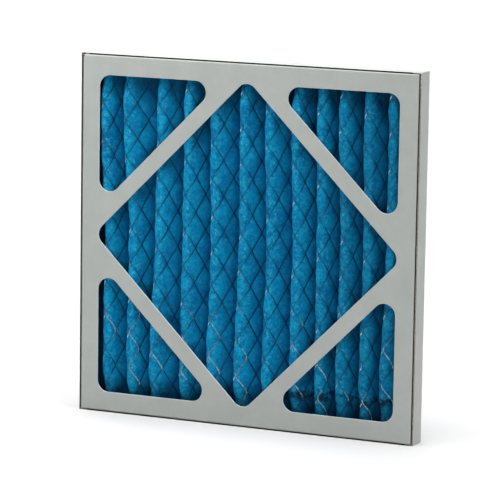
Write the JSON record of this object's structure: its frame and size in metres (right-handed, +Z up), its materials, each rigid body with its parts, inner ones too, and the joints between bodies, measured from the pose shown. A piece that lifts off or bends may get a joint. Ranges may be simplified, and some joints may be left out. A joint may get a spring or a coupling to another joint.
{
  "type": "pleated panel air filter",
  "caption": "Square panel air filter: pleated blue media with a folded metal grid, held between two die-cut board trays with triangular and diamond windows.",
  "frame": {"origin": "middle of the bottom edge, on the surface that the filter stands on", "axes": "+Z up, -Y out of the face that carries the metal grid, +X to the right seen from that side"},
  "size_m": [0.2922, 0.019, 0.2921],
  "materials": {
    "board": "clay-coated board, light grey, satin, brown at its cut edges",
    "media": "blue non-woven synthetic media, matte and slightly fuzzy",
    "grid": "expanded metal, dull, with a few bright and slightly rusty strands",
    "adhesive": "set glue, cream"
  },
  "bodies": {
    "root": {"front_tray": "board", "rear_tray": "board", "filter_media": "media", "support_grid": "grid", "end_adhesive_top": "adhesive", "end_adhesive_bottom": "adhesive", "side_adhesive_left": "adhesive", "side_adhesive_right": "adhesive", "seam_adhesive_top": "adhesive", "seam_adhesive_bottom": "adhesive", "seam_adhesive_left": "adhesive", "seam_adhesive_right": "adhesive"}
  },
  "joints": []
}
